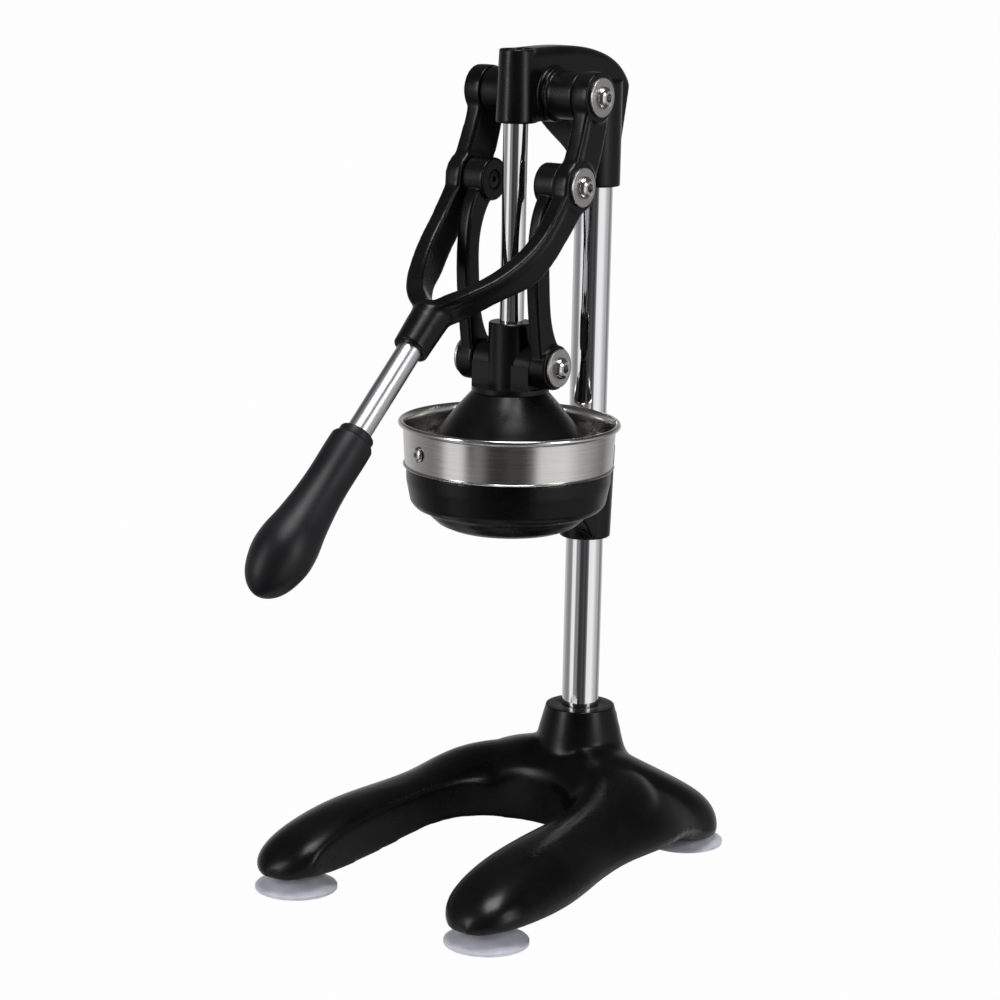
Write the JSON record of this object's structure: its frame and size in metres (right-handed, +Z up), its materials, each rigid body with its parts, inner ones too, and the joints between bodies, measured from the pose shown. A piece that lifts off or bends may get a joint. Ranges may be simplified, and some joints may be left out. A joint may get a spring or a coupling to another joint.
{
  "type": "lever citrus juice press",
  "caption": "Table-top citrus press: a forked hand lever and two links drive a rod-mounted press cup down into a steel bowl held on a post over a horseshoe base.",
  "frame": {"origin": "middle of the overall outline, on the table", "axes": "+Z up, +Y towards the post and back, +X to the right hand side seen from the lever's end"},
  "size_m": [0.1638, 0.3012, 0.4106],
  "materials": {
    "black_casting": "semi-gloss black powder coat, fine orange peel",
    "satin_black": "smooth satin black coat",
    "chrome_tube": "polished chrome plate",
    "chrome_rod": "polished chrome plate",
    "lever_steel": "satin, grain along the tube",
    "grip_black": "matte moulded",
    "bowl_steel": "brushed round the bowl",
    "strainer_steel": "bright pressed sheet",
    "bolt_steel": "polished stainless",
    "washer_steel": "satin stainless",
    "screw_steel": "plain",
    "bush_polymer": "plain",
    "suction_rubber": "translucent pale grey"
  },
  "bodies": {
    "stand": {"base": "black_casting", "suction_foot_front_left": "suction_rubber", "suction_foot_front_right": "suction_rubber", "suction_foot_rear_left": "suction_rubber", "suction_foot_rear_right": "suction_rubber", "foot_screws": "bolt_steel", "post": "chrome_tube", "base_clamp_bolt": "screw_steel", "head": "black_casting", "head_lock_screw": "screw_steel", "guide_bush": "bush_polymer", "pivot_bolts": "bolt_steel", "pivot_washers": "washer_steel", "cup_holder": "black_casting", "holder_lock_screw": "screw_steel", "juice_bowl": "bowl_steel", "bowl_pan": "bowl_steel", "bowl_spout": "bowl_steel", "bowl_stud": "bolt_steel", "strainer": "strainer_steel"},
    "ram": {"ram_rod": "chrome_rod", "press_cup": "satin_black", "ram_lock_screw": "screw_steel", "press_bolts": "bolt_steel", "press_washers": "washer_steel"},
    "lever": {"yoke": "black_casting", "link_bolts": "bolt_steel", "link_washers": "washer_steel", "lever_tube": "lever_steel", "tube_lock_screw": "screw_steel", "grip_ring": "grip_black", "grip": "grip_black"},
    "left_link": {"link_left": "black_casting"},
    "right_link": {"link_right": "black_casting"}
  },
  "joints": [
    {"name": "lever_hinge", "type": "hinge", "parent": "stand", "child": "lever", "pos_m": [0, 0.05699, 0.388], "axis": [-1, 0, 0], "range_deg": [0, 90]},
    {"name": "ram_slide", "type": "slide", "parent": "stand", "child": "ram", "axis": [0, 0, 1], "range_m": [0, 0.05913]},
    {"name": "left_link_hinge", "type": "hinge", "parent": "ram", "child": "left_link", "pos_m": [0, 0.03999, 0.2585], "axis": [1, 0, 0], "range_deg": [0, 18.52]},
    {"name": "right_link_hinge", "type": "hinge", "parent": "ram", "child": "right_link", "pos_m": [0, 0.03999, 0.2585], "axis": [1, 0, 0], "range_deg": [0, 18.52]}
  ],
  "couplings": [
    {"joint": "ram_slide", "follows": "lever_hinge", "m_per_rad": 0.037636},
    {"joint": "left_link_hinge", "follows": "lever_hinge", "ratio": 0.20561},
    {"joint": "right_link_hinge", "follows": "lever_hinge", "ratio": 0.20561}
  ]
}
